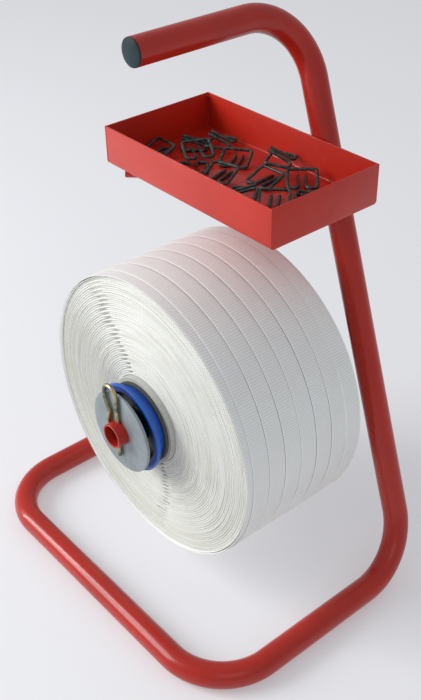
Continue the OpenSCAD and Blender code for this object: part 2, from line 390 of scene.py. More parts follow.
def makeDarkWire():
    f = {"black": (0.013, 0.024, 0.022), "sheen": (0.075, 0.105, 0.095), "sheenShare": 0.9,
         "patchScale": 240.0, "patchLimits": (0.40, 0.62), "roughness": (0.30, 0.5),
         "grainScale": 1100.0, "grainDepth": 0.00004}
    material, tree, shader = newMaterial("darkWire", metallic=0.35, specular_ior_level=0.5)
    point = objectPoint(tree)
    patch = grain(tree, point, f["patchScale"], detail=5.0, rough=0.65)
    # lighter green-grey patches at random: partly the coat's own mottling, partly a painted sheen
    mottleAndSheen = spread(tree, patch, 0.0, f["sheenShare"], *f["patchLimits"])
    feed(tree, shader, "Base Color", blendColor(tree, mottleAndSheen, f["black"], f["sheen"]))
    feed(tree, shader, "Roughness", spread(tree, patch, *f["roughness"]))
    addBump(tree, shader, [(grain(tree, point, f["grainScale"]), f["grainDepth"])])
    return material


def makePlugPlastic():
    f = {"dark": (0.005, 0.020, 0.025), "light": (0.011, 0.032, 0.038), "cloudScale": 60.0,
         "roughness": (0.34, 0.5), "grainScale": 800.0, "grainDepth": 0.00005}
    material, tree, shader = newMaterial("plugPlastic", specular_ior_level=0.2)
    point = objectPoint(tree)
    cloud = grain(tree, point, f["cloudScale"])
    feed(tree, shader, "Base Color", blendColor(tree, spread(tree, cloud, 0.0, 1.0), f["dark"], f["light"]))
    feed(tree, shader, "Roughness", spread(tree, cloud, *f["roughness"]))
    addBump(tree, shader, [(grain(tree, point, f["grainScale"], detail=2.0), f["grainDepth"])])
    return material


# the band's whites are set paler than the face copy's below, lifting the coil's shaded side as painted light
weave = {
    "edgeOn": False, "white": (0.90, 0.91, 0.89), "cream": (0.86, 0.86, 0.83), "grey": (0.44, 0.46, 0.46),
    "selvedgeHighlight": (0.96, 0.96, 0.94), "creamShare": 0.8, "cloudScale": 24.0, "roughScale": 90.0,
    "roughness": (0.42, 0.6), "rib": 0.0026, "ribDepth": 0.00003, "cords": 9.0, "cordDepth": 0.00003,
    "fuzzScale": 1300.0, "fuzzDepth": 0.00004, "shade": 0.26, "shadeLimits": (-1.0, 0.3), "seamShade": 0.7,
    "innerEdge": (0.86, 0.90), "selvedgeEdge": (0.87, 0.91), "seamEdge": (0.972, 0.985),
}
edgeWeave = dict(
    weave, edgeOn=True, white=(0.83, 0.83, 0.80), cream=(0.78, 0.78, 0.73), grey=(0.50, 0.51, 0.42),
    ribDepth=0.00010, cordDepth=0.0001, shade=0.6, shadeLimits=(-1.0, -0.55), layer=0.0021,
    toneShade=0.45, toneLimits=(0.45, 0.7), toneScale=1.6, toneStep=0.9)


def makeStrapWeave(name, f):
    material, tree, shader = newMaterial(
        name, sheen_weight=0.15, specular_ior_level=0.35, subsurface_weight=0.12)
    shader.inputs["Subsurface Radius"].default_value = (0.004, 0.004, 0.003)
    point = objectPoint(tree)
    cloud = grain(tree, point, f["cloudScale"])
    color = blendColor(tree, spread(tree, cloud, 0.0, f["creamShare"]), f["white"], f["cream"])
    if f["edgeOn"]:
        # edge upwards: the ribs run round the axle, each turn has its own tone, and the lines between turns are
        # darkened grey as painted shade
        part = splitPoint(tree)
        around = calc(tree, "ARCTAN2", part[0], minus(tree, part[2], axleZ))
        radius = axleRadius(tree)
        phase = calc(tree, "DIVIDE", times(tree, around, radius), f["rib"])
        layer = calc(tree, "DIVIDE", radius, f["layer"])
        thread = calc(tree, "SINE", times(tree, phase, 2 * math.pi))
        cords = calc(tree, "SINE", times(tree, layer, 2 * math.pi))
        place = joinXYZ(tree, times(tree, layer, f["toneStep"]),
                        calc(tree, "SINE", around), calc(tree, "COSINE", around))
        tone = grain(tree, place, f["toneScale"], detail=3.0, rough=0.6)
        grooveShade = times(tree, spread(tree, cords, 1.0, 0.0, *f["shadeLimits"]), f["shade"])
        hollow = plus(tree, spread(tree, tone, 0.0, f["toneShade"], *f["toneLimits"]), grooveShade)
    else:
        # along is metres along the strap, across is -1 to 1 over its width
        along = addNode(tree, "ShaderNodeAttribute", attribute_name="along").outputs["Fac"]
        across = addNode(tree, "ShaderNodeAttribute", attribute_name="across").outputs["Fac"]
        side = calc(tree, "ABSOLUTE", across)
        thread = calc(tree, "SINE", times(tree, along, 2 * math.pi / f["rib"]))
        cords = calc(tree, "SINE", times(tree, across, f["cords"] * math.pi))
        # the hollows between ribs are darkened grey as painted shade, but not at the strap's edges
        grooveShade = times(tree, spread(tree, thread, 1.0, 0.0, *f["shadeLimits"]), f["shade"])
        hollow = times(tree, grooveShade, spread(tree, side, 1.0, 0.0, *f["innerEdge"]))
        # pale selvedge as a painted highlight, then the dark line where two turns meet as painted shade in the
        # gap
        color = blendColor(tree, spread(tree, side, 0.0, 1.0, *f["selvedgeEdge"]), color, f["selvedgeHighlight"])
        hollow = plus(tree, hollow, spread(tree, side, 0.0, f["seamShade"], *f["seamEdge"]))
    # grey is mixed in where painted shade falls in grooves and seams, with each turn's own tone on the coil's
    # faces
    feed(tree, shader, "Base Color", blendColor(tree, hollow, color, f["grey"]))
    feed(tree, shader, "Roughness", spread(tree, grain(tree, point, f["roughScale"]), *f["roughness"]))
    addBump(tree, shader, [(thread, f["ribDepth"]), (cords, f["cordDepth"]),
                           (grain(tree, point, f["fuzzScale"]), f["fuzzDepth"])])
    return material


strapWeave = makeStrapWeave("strapWeave", weave)
strapEdges = makeStrapWeave("strapEdges", edgeWeave)
hubPlastic = makeHubPlastic()
ringFibre = makeRingFibre()
coreBoard = makeCoreBoard()
platedSteel = makePlatedSteel()
yellowZinc = makeYellowZinc()
darkWire = makeDarkWire()
plugPlastic = makePlugPlastic()
print("finishes made:", len(bpy.data.materials))


# bent tubes and wires
sweepSizes = (("Bend Radius", "Tube Radius"), ("Bend Steps", "Round Steps"))


def sweep(tree, size):
    # the host's line with round bends, swept by a circle
    line = addNode(tree, "GeometryNodeMeshToCurve", {0: size["Geometry"]})
    bends = addNode(tree, "GeometryNodeFilletCurve", {
        "Curve": line.outputs[0], "Count": size["Bend Steps"], "Radius": size["Bend Radius"]}, mode="POLY")
    ring = addNode(tree, "GeometryNodeCurvePrimitiveCircle", {
        "Resolution": size["Round Steps"], "Radius": size["Tube Radius"]})
    return addNode(tree, "GeometryNodeCurveToMesh", {
        "Curve": bends.outputs[0], "Profile Curve": ring.outputs[0], "Fill Caps": True}).outputs[0]


def sweepTree(name, material):
    tree, size = startTree(name, *sweepSizes)
    endTree(tree, sweep(tree, size), material)
    return tree


def runSweep(name, tree, points, f, radius):
    edges = [(i, i + 1) for i in range(len(points) - 1)]
    return tidyMesh(runTree(name, tree, {
        "Bend Radius": f["bend"], "Bend Steps": f["bendSteps"],
        "Tube Radius": radius, "Round Steps": f["roundSteps"]}, points, edges))


frameTube = {
    "sideRails": 0.363, "depth": 0.256, "height": 0.531, "mastLean": 0.203, "mastBack": 0.026,
    "handle": 0.185, "postOver": 0.024, "bend": 0.063, "bendSteps": 28, "roundSteps": 72,
}


def framePath(f):
    side, frontY = f["sideRails"] / 2, -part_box("frame_tube")[1].y + tubeRadius
    rearY = frontY + f["depth"]
    mastTop = Vector((side - f["mastLean"], rearY + f["mastBack"], f["height"]))
    mastFoot = Vector((side, rearY, tubeRadius))
    postFoot = Vector((-side, rearY, tubeRadius))
    axleRear = Vector((0, rearY, axleZ))
    postTip = axleRear + (axleRear - postFoot).normalized() * f["postOver"]
    handleTip = mastTop - Vector((0, f["handle"], 0))
    return [handleTip, mastTop, mastFoot, Vector((side, frontY, tubeRadius)),
            Vector((-side, frontY, tubeRadius)), postFoot, postTip]


path = framePath(frameTube)
handleTip, mastTop, mastFoot, _, _, postFoot, postTip = path
print("frame tube")
tube = runSweep("frameTube", sweepTree("bentTube", tubeEnamel), path, frameTube, tubeRadius)
settle(tube, "stand", "frame_paint", "frame_tube")


# turned pieces
tiny = 1e-7
cornerSteps = 4


def roundCorners(points, radius, mostOfSide=0.4):
    # softens each corner of a closed outline by a curve that fits its two sides
    out, count = [], len(points)
    for i in range(count):
        before, here, after = (Vector(points[(i + k) % count]) for k in (-1, 0, 1))
        if here.x < tiny:
            out.append(tuple(here))
            continue
        a, b = before - here, after - here
        reach = min(radius, a.length * mostOfSide, b.length * mostOfSide)
        a, b = a.normalized() * reach, b.normalized() * reach
        for k in range(cornerSteps + 1):
            t = k / cornerSteps
            out.append(tuple(here + a * (1 - t) ** 2 + b * t ** 2))
    return out


def turn(name, outline, material, start, axis, segments=120, sharp=35):
    # outline: closed list of (radius, distance along the axis)
    axis = Vector(axis).normalized()
    side = axis.orthogonal().normalized()
    other = axis.cross(side)
    work = bmesh.new()
    rings = []
    for radius, along in outline:
        centre = Vector(start) + axis * along
        if radius < tiny:
            rings.append([work.verts.new(centre)] * segments)
            continue
        rings.append([work.verts.new(centre + (side * math.cos(t) + other * math.sin(t)) * radius)
                      for t in (2 * math.pi * k / segments for k in range(segments))])
    for i in range(len(rings)):
        first, second = rings[i], rings[(i + 1) % len(rings)]
        for k in range(segments):
            corners = [first[k], first[(k + 1) % segments], second[(k + 1) % segments], second[k]]
            corners = list(dict.fromkeys(corners))
            if len(corners) > 2:
                work.faces.new(corners)
    mesh = bpy.data.meshes.new(name)
    work.to_mesh(mesh)
    work.free()
    return tidyMesh(addPiece(name, mesh, material), sharp=sharp)


def ringOutline(outer, inner, length, edge):
    return roundCorners([(outer, 0), (outer, length), (inner, length), (inner, 0)], edge)


def makeRing(name, material, node, inner, edge, body, slot):
    # a plain ring as wide and as thick as its CAD node
    low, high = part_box(node)
    outline = ringOutline((high.x - low.x) / 2, inner, high.y - low.y, edge)
    settle(turn(name, outline, material, (0, low.y, axleZ), (0, 1, 0)), body, slot, node)


plug = {"rim": 0.0025, "inside": 0.016, "dome": 0.06, "gap": 0.0004, "edge": 0.0008, "wall": 0.002,
        "inset": 0.0002, "seat": 0.00002, "domeSteps": 8, "segments": 72}


def plugOutline(p):
    face = [(0, p["rim"])]
    for k in range(1, p["domeSteps"] + 1):
        r = (tubeRadius - p["inset"]) * k / p["domeSteps"]
        face.append((r, p["rim"] - (p["dome"] - math.sqrt(p["dome"] ** 2 - r * r))))
    bore = tubeRadius - p["wall"] - p["gap"]
    body = [(face[-1][0], p["seat"]), (bore, p["seat"]), (bore, -p["inside"]), (0, -p["inside"])]
    # only the middle corner of the three, where the dome meets the rim
    rim = roundCorners([face[-2], face[-1], body[0]], p["edge"])[cornerSteps + 1:2 * (cornerSteps + 1)]
    return face[:-1] + rim + body


for name, tip, back, node in (("handlePlug", handleTip, mastTop, "handle_plug"),
                              ("postPlug", postTip, postFoot, "post_plug")):
    piece = turn(name, plugOutline(plug), plugPlastic, tip, tip - back, plug["segments"])
    settle(piece, "stand", "plug_plastic", node)

axle = {"wall": 0.002, "rim": 0.0007, "clipHole": 0.00206, "drill": 0.06, "intoPost": 0.25, "postCut": 0.4,
        "segments": 96, "cutSegments": 64}


def makeAxle(a):
    tip, rear = axleLow.y, postFoot.y - tubeRadius * a["intoPost"]
    outline = ringOutline(tubeRadius, tubeRadius - a["wall"], rear - tip, a["rim"])
    piece = turn("axleTube", outline, tubeEnamel, (0, tip, axleZ), (0, 1, 0), a["segments"])
    clipY = sum(corner.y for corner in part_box("spring_clip")) / 2
    # the hole for the clip, and the cope that fits the axle to the post
    cuts = (((0, clipY, axleZ - a["drill"] / 2), (0, 0, 1), a["clipHole"], a["drill"]),
            (postFoot, postTip - postFoot, tubeRadius, a["postCut"]))
    cutters = []
    for place, axis, radius, length in cuts:
        rod = [(0, 0), (radius, 0), (radius, length), (0, length)]
        cutters.append(turn("cutter", rod, tubeEnamel, place, axis, a["cutSegments"]))
    for cutter in cutters:
        cut = piece.modifiers.new("cut", "BOOLEAN")
        cut.object, cut.operation, cut.solver = cutter, "DIFFERENCE", "EXACT"
    mesh = plainMesh(piece)
    piece.modifiers.clear()
    piece.data = mesh
    for cutter in cutters:
        bpy.data.objects.remove(cutter)
    return tidyMesh(piece)


print("axle, hubs and core")
settle(makeAxle(axle), "stand", "frame_paint", "axle_tube")

ringSizes = {"weldedGap": 0.00002, "looseGap": 0.00006, "stopEdge": 0.0006, "boardEdge": 0.0004,
             "coreEdge": 0.0005, "discEdge": 0.0005}
makeRing("stopRing", tubeEnamel, "stop_ring", tubeRadius + ringSizes["weldedGap"], ringSizes["stopEdge"],
         "stand", "frame_paint")

looseBore = tubeRadius + ringSizes["looseGap"]
hub = {"bore": looseBore, "boss": 0.017, "proud": 0.0057, "flange": 0.0042, "floor": 0.012, "spigot": 0.0378,
       "wall": 0.0035, "edge": 0.0011, "flare": 0.0015, "lip": 0.0022, "rimLip": 0.0024, "web": 0.003}


def hubOutline(h):
    rim = (hubHigh.x - hubLow.x) / 2
    end = hubHigh.y - hubLow.y
    cup, dish = h["spigot"] - h["wall"], h["proud"] + h["floor"]
    return roundCorners([
        (h["bore"], 0), (h["boss"], 0), (h["boss"], dish), (cup, dish),
        (cup + h["flare"], h["proud"] + h["lip"]), (rim - h["rimLip"], h["proud"]),
        (rim, h["proud"]), (rim, h["proud"] + h["flange"]),
        (h["spigot"], h["proud"] + h["flange"]), (h["spigot"], end), (cup, end), (cup, dish + h["web"]),
        (h["boss"], dish + h["web"]), (h["boss"], end), (h["bore"], end)], h["edge"])


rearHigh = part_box("rear_hub")[1]
for name, y, way, node in (("frontHub", hubLow.y, 1, "front_hub"), ("rearHub", rearHigh.y, -1, "rear_hub")):
    settle(turn(name, hubOutline(hub), hubPlastic, (0, y, axleZ), (0, way, 0)), "coil", "hub_plastic", node)

coreInside = coreRadius - coreWall
for name, node in (("frontRing", "front_ring"), ("rearRing", "rear_ring")):
    makeRing(name, ringFibre, node, coreInside, ringSizes["boardEdge"], "coil", "ring_board")
makeRing("coreTube", coreBoard, "core_tube", coreInside, ringSizes["coreEdge"], "coil", "core_board")
makeRing("retainingDisc", platedSteel, "retaining_disc", looseBore, ringSizes["discEdge"],
         "disc", "plated_steel")


# spring clip: one leg through the axle, one bent to hug it
clip = {"below": 0.027, "eyeHeight": 0.041, "eyeRadius": 0.0085, "bend": 0.0084, "bendSteps": 10,
        "roundSteps": 20, "gap": 0.0005, "eyeOut": 0.001, "neckDrop": 0.007, "neckIn": 0.0035,
        "neckRise": 0.007, "hugRise": 0.004, "tipOut": 0.0015, "tipRise": 0.008}


def clipPath(c):
    y = sum(corner.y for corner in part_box("spring_clip")) / 2
    hug = tubeRadius + wireSizes["clip"] / 2 + c["gap"]
    top, left = c["eyeHeight"] + c["eyeRadius"], -2 * c["eyeRadius"]
    flat = [(0, -c["below"]), (0, top), (left, top), (left - c["eyeOut"], c["eyeHeight"] - c["neckDrop"]),
            (c["neckIn"] - hug, tubeRadius + c["neckRise"]), (-hug, c["hugRise"]),
            (-hug - c["tipOut"], c["tipRise"] - c["below"])]
    return [(x, y, axleZ + z) for x, z in flat]


wireTree = sweepTree("bentWire", yellowZinc)
springClip = runSweep("springClip", wireTree, clipPath(clip), clip, wireSizes["clip"] / 2)
settle(springClip, "clip", "yellow_zinc", "spring_clip")


# tray
tray = {"sheet": 0.0015, "bend": 0.0034, "edge": 0.0003, "seam": 0.0002, "bendSteps": 6, "edgeAngle": 50}


def arc(centre, radius, start, end, steps):
    angles = [math.radians(start + (end - start) * k / steps) for k in range(steps + 1)]
    return [(centre[0] + radius * math.cos(t), centre[1] + radius * math.sin(t)) for t in angles]


def makeTray(t):
    # floor, front and back are one folded sheet; each end is a plate welded on
    s, bend, n = t["sheet"], t["bend"], t["bendSteps"]
    y0, y1, z0, z1 = trayLow.y, trayHigh.y, trayLow.z, trayHigh.z
    front, back = (y0 + bend, z0 + bend), (y1 - bend, z0 + bend)
    outer = [(y0, z1)] + arc(front, bend, 180, 270, n) + arc(back, bend, 270, 360, n) + [(y1, z1)]
    inner = ([(y1 - s, z1)] + arc(back, bend - s, 360, 270, n)
             + arc(front, bend - s, 270, 180, n) + [(y0 + s, z1)])
    parts = [(outer + inner, trayLow.x + s + t["seam"], trayHigh.x - s - t["seam"]),
             (outer, trayLow.x, trayLow.x + s), (outer, trayHigh.x - s, trayHigh.x)]
    work = bmesh.new()
    for outline, x0, x1 in parts:
        loop = [[work.verts.new((x, y, z)) for y, z in outline] for x in (x0, x1)]
        work.faces.new(loop[0])
        work.faces.new(loop[1][::-1])
        for i in range(len(outline)):
            j = (i + 1) % len(outline)
            work.faces.new([loop[0][i], loop[1][i], loop[1][j], loop[0][j]])
    mesh = bpy.data.meshes.new("tray")
    work.to_mesh(mesh)
    work.free()
    piece = addPiece("traySheet", mesh, trayEnamel)
    soft = piece.modifiers.new("edges", "BEVEL")
    soft.width, soft.segments = t["edge"], 2
    soft.limit_method, soft.angle_limit = "ANGLE", math.radians(t["edgeAngle"])
    mesh = plainMesh(piece)
    piece.modifiers.clear()
    piece.data = mesh
    return tidyMesh(piece, sharp=t["edgeAngle"])


print("tray")
settle(makeTray(tray), "stand", "tray_paint", "tray")

bead = {"step": 0.0021, "radius": 0.0019, "seed": 4, "wobble": (0.85, 1.12), "detail": 3,
        "backGap": 0.0004, "sideShift": 0.0068, "bottom": 0.004, "top": 0.002,
        "cornerInset": 0.0006, "cornerTop": 0.0034, "cornerBottom": 0.0054}


def beadTree(name, material):
    # ripples of weld metal along a line
    tree, size = startTree(name, ("Step", "Bead Radius"), ("Seed",))
    line = addNode(tree, "GeometryNodeMeshToCurve", {0: size["Geometry"]})
    spots = addNode(tree, "GeometryNodeCurveToPoints", {
        0: line.outputs[0], "Length": size["Step"]}, mode="LENGTH")
    drop = addNode(tree, "GeometryNodeMeshIcoSphere", {
        "Radius": size["Bead Radius"], "Subdivisions": bead["detail"]})
    least, most = bead["wobble"]
    wobble = addNode(tree, "FunctionNodeRandomValue", {
        2: least, 3: most, "Seed": size["Seed"]}, data_type="FLOAT")
    put = addNode(tree, "GeometryNodeInstanceOnPoints", {
        "Points": spots.outputs[0], "Instance": drop.outputs[0], "Scale": wobble.outputs[1]})
    endTree(tree, put.outputs[0], material)
    return tree


weldTree = beadTree("weldRipples", trayEnamel)
mastLine = mastTop - mastFoot


def onMast(z):
    return mastFoot + mastLine * ((z - mastFoot.z) / mastLine.z)


def makeWelds(name, lines, node, slot):
    points, edges = [], []
    for a, b in lines:
        edges.append((len(points), len(points) + 1))
        points += [a, b]
    piece = runTree(name, weldTree, {
        "Step": bead["step"], "Bead Radius": bead["radius"], "Seed": bead["seed"]}, points, edges)
    return settle(tidyMesh(piece, merge=tiny), "stand", slot, *node)


backY = trayHigh.y + bead["backGap"]
ends = [onMast(z) for z in (trayLow.z + bead["bottom"], trayHigh.z - bead["top"])]
makeWelds("trayWeld", [[Vector((end.x + shift, backY, end.z)) for end in ends]
                       for shift in (-bead["sideShift"], bead["sideShift"])], ["tray_weld"], "tray_paint")
inset = tray["sheet"] + bead["cornerInset"]
corners = [(x, y) for x in (trayLow.x + inset, trayHigh.x - inset)
           for y in (trayLow.y + inset, trayHigh.y - inset)]
heights = trayHigh.z - bead["cornerTop"], trayHigh.z - bead["cornerBottom"]
makeWelds("cornerWelds", [[Vector((x, y, z)) for z in heights] for x, y in corners], [], "tray_paint")

rod = {"radius": 0.0035, "front": (0.024, 0.003), "intoMast": 0.9, "edge": 0.001, "segments": 40}
rodZ = trayLow.z - rod["radius"]
rodTip = Vector((trayLow.x + rod["front"][0], trayLow.y + rod["front"][1], rodZ))
rodAxis = onMast(rodZ) - rodTip
rodLength = rodAxis.length - tubeRadius * rod["intoMast"]
outline = roundCorners([(0, 0), (rod["radius"], 0), (rod["radius"], rodLength), (0, rodLength)], rod["edge"])
trayRod = turn("trayRod", outline, tubeEnamel, rodTip, rodAxis, rod["segments"])
settle(trayRod, "stand", "tray_paint", "tray_rod")


# wire buckles
buckle = {
    "frame": (0.027, 0.023), "bend": 0.0032, "rise": 0.0085, "prongIn": 0.0099,
    "bendSteps": 6, "roundSteps": 14,
    # x, y and height of each in the tray, in millimetres, then its turn and tilt
    "lying": [
        (66, 48, 0.02, 50, 0), (27, 82, 0.02, -42, 0), (46, 100, 3.43, -64, 0), (98, 54, 7.05, 16, 201),
        (138, 46, 0.02, 130, 0), (186, 84, 0.02, -22, 0), (18, 44, 7.05, 0, 201), (52, 66, 11.25, 64, 201),
        (84, 85, 7.05, 33, 201), (133, 77, 7.05, 2, 201), (125, 104, 11.03, -61, -4), (160, 98, 8.85, 48, 201),
        (170, 54, 7.05, 42, 201)],
}


def makeBuckles(b):
    x, y = b["frame"][0] / 2, b["frame"][1] / 2
    prong, rise = x - b["prongIn"], b["rise"]
    shape = [(-prong, -y, rise), (-prong, y, 0), (-x, y, 0), (-x, -y, 0),
             (x, -y, 0), (x, y, 0), (prong, y, 0), (prong, -y, rise)]
    tree, size = startTree("scatteredBuckles", *sweepSizes)
    skin = sweep(tree, size)
    joined = addNode(tree, "GeometryNodeJoinGeometry")
    inside = trayLow + Vector((tray["sheet"],) * 3)
    lift = Matrix.Translation((0, 0, wireSizes["buckle"] / 2))
    for bx, by, bz, turned, tilted in b["lying"]:
        swing = Matrix.Rotation(math.radians(turned), 4, "Z") @ Matrix.Rotation(math.radians(tilted), 4, "X")
        move = Matrix.Translation(inside + Vector((bx, by, bz)) / 1000) @ swing @ lift
        one = addNode(tree, "GeometryNodeTransform", {
            0: skin, "Translation": move.to_translation(), "Rotation": move.to_euler()})
        tree.links.new(one.outputs[0], joined.inputs[0])
    endTree(tree, joined.outputs[0], darkWire)
    return runSweep("wireBuckles", tree, shape, b, wireSizes["buckle"] / 2)


print("buckles")
settle(makeBuckles(buckle), "stand", "dark_wire", "wire_buckles")


# strap coil
coil = {
    "outer": (coilHigh.x - coilLow.x) / 2, "inner": coreRadius + 0.0003, "strap": 0.0189, "pitch": 0.01925,
    "thick": 0.0009, "rib": 0.0026, "ribDepth": 0.00011, "stepsPerRib": 3, "dwell": 1.1, "stepBack": 0.0010,
    "waver": 0.0005, "waverScale": 1.7, "waverRate": 3.1, "edgePower": 0.35, "facePower": 0.5, "ribbed": 0.96,
    "bury": 1.1, "sectionPoints": 11, "markY": 0.0085, "markAngle": 70.0,
    "underDrop": 2.3, "underTurns": 1.2, "underAngle": 40, "underStart": 0.6, "sharp": 60,
}


def bandTree(name, material, c):
    # a flat strap wound as a spiral: the grid's x runs along it, its y round its section
    tree, size = startTree(name, (
        "Radius", "Strap Width", "Strap Thickness", "Pitch", "Turns", "Start Angle", "Start Y",
        "Low Y", "High Y", "Rib Pitch", "Rib Depth", "Axle Z", "Waver"), ("Steps",))
    grid = addNode(tree, "GeometryNodeMeshGrid", {
        "Size X": 1.0, "Size Y": 1.0, "Vertices X": size["Steps"], "Vertices Y": c["sectionPoints"]})
    where = splitXYZ(tree, addNode(tree, "GeometryNodeInputPosition").outputs[0])
    u, v = plus(tree, where[0], 0.5), plus(tree, where[1], 0.5)
    turns = times(tree, u, size["Turns"])
    theta = plus(tree, times(tree, turns, 2 * math.pi), size["Start Angle"])
    along = times(tree, times(tree, turns, 2 * math.pi), size["Radius"])
    section = times(tree, v, 2 * math.pi)
    cosine, sine = calc(tree, "COSINE", section), calc(tree, "SINE", section)

    def flattened(value, power):
        bent = calc(tree, "POWER", calc(tree, "ABSOLUTE", value), power)
        return times(tree, calc(tree, "SIGN", value), bent)

    across, lift = flattened(cosine, c["edgePower"]), flattened(sine, c["facePower"])
    # the section closes to nothing at both ends of the strap
    atEnd = calc(tree, "COMPARE", calc(tree, "ABSOLUTE", where[0]), 0.5, 1e-6)
    lift = times(tree, lift, minus(tree, 1.0, atEnd))
    wave = calc(tree, "SINE", times(tree, along, calc(tree, "DIVIDE", 2 * math.pi, size["Rib Pitch"])))
    middle = calc(tree, "LESS_THAN", calc(tree, "ABSOLUTE", across), c["ribbed"])
    rib = times(tree, times(tree, wave, size["Rib Depth"]), middle)
    rib = minus(tree, rib, times(tree, size["Rib Depth"], middle))
    noisePoint = joinXYZ(tree, times(tree, turns, c["waverRate"]), size["Radius"])
    waver = addNode(tree, "ShaderNodeTexNoise", {
        "Vector": noisePoint, "Scale": c["waverScale"], "Detail": 1.0}).outputs["Fac"]
    waver = times(tree, minus(tree, waver, 0.5), size["Waver"])
    height = times(tree, lift, times(tree, size["Strap Thickness"], 0.5))
    radius = plus(tree, plus(tree, size["Radius"], height), rib)
    radius = plus(tree, radius, times(tree, waver, 0.5))
    halfWidth = times(tree, size["Strap Width"], 0.5)
    centre = minus(tree, size["Start Y"], times(tree, turns, size["Pitch"]))
    first, last = plus(tree, size["Low Y"], halfWidth), minus(tree, size["High Y"], halfWidth)
    # at each side the strap dwells for a turn, and goes under its own next turn
    beyond = plus(tree, calc(tree, "MAXIMUM", minus(tree, centre, last), 0.0),
                  calc(tree, "MAXIMUM", minus(tree, first, centre), 0.0))
    buried = calc(tree, "DIVIDE", beyond, calc(tree, "ABSOLUTE", size["Pitch"]))
    sunk = times(tree, buried, times(tree, size["Strap Thickness"], c["bury"]))
    radius = minus(tree, radius, sunk)
    centre = calc(tree, "MINIMUM", calc(tree, "MAXIMUM", centre, first), last)
    y = plus(tree, plus(tree, centre, times(tree, across, halfWidth)), waver)
    x = times(tree, radius, calc(tree, "SINE", theta))
    z = plus(tree, times(tree, radius, calc(tree, "COSINE", theta)), size["Axle Z"])
    stored = store(tree, store(tree, grid.outputs[0], "along", along), "across", across)
    placed = addNode(tree, "GeometryNodeSetPosition", {0: stored, "Position": joinXYZ(tree, x, y, z)})
    closed = addNode(tree, "GeometryNodeMergeByDistance", {0: placed.outputs[0], "Distance": 1e-6})
    endTree(tree, closed.outputs[0], material)
    return tree


def makeBand(name, tree, c, stepsPerRib, own):
    steps = int(own["Turns"] * 2 * math.pi * own["Radius"] / c["rib"] * stepsPerRib)
    band = runTree(name, tree, {
        "Strap Width": c["strap"], "Strap Thickness": c["thick"], "Low Y": coilLow.y + c["stepBack"],
        "High Y": coilHigh.y - c["stepBack"], "Rib Pitch": c["rib"], "Steps": steps, "Axle Z": axleZ,
        "Waver": c["waver"], **own})
    return tidyMesh(band, merge=tiny, sharp=c["sharp"])


print("strap coil")
straps = bandTree("woundStrap", strapWeave, coil)
topRadius = coil["outer"] - coil["thick"] / 2
travel = (coilHigh.y - coilLow.y - coil["strap"]) / coil["pitch"]
startY = coilHigh.y - coil["strap"] / 2
# turns from the start to the lane line that stands at the marked place
turnsToMark = (startY - coil["pitch"] / 2 - coilLow.y - coil["markY"]) / coil["pitch"]
startAngle = coil["markAngle"] - 360 * (turnsToMark + coil["dwell"])
top = makeBand("strapTopLayer", straps, coil, coil["stepsPerRib"], {
    "Radius": topRadius, "Turns": travel + 2 * coil["dwell"], "Start Angle": math.radians(startAngle),
    "Pitch": coil["pitch"], "Start Y": startY + coil["dwell"] * coil["pitch"], "Rib Depth": coil["ribDepth"]})
settle(top, "coil", "woven_strap", "strap_coil")
under = makeBand("strapUnderLayer", straps, coil, 1, {
    "Radius": topRadius - coil["thick"] * coil["underDrop"], "Turns": travel + coil["underTurns"],
    "Start Angle": math.radians(startAngle + coil["underAngle"]), "Pitch": -coil["pitch"],
    "Start Y": coilLow.y + coil["strap"] / 2 - coil["underStart"] * coil["pitch"], "Rib Depth": 0.0})
settle(under, "coil", "woven_strap")

faceRings = {
    "step": 0.0021, "depth": 0.0028, "lower": 0.0012, "soft": 0.4, "inset": 0.0011, "sharp": 60,
    # angle and drift of each row of turn-backs, in degrees
    "rows": ((-26.0, 6.0), (154.0, -26.0)), "stray": 0.35, "rowWidth": 0.075,
    "gapDepth": 0.0026, "slump": 0.0026, "slumpPower": 7.0, "roundSteps": 240,
    "waveScale": 1.3, "waveDepth": 0.0010, "ringDepth": 0.0012, "swayScale": 0.8, "sway": 0.0007, "seedStep": 3.7,
}


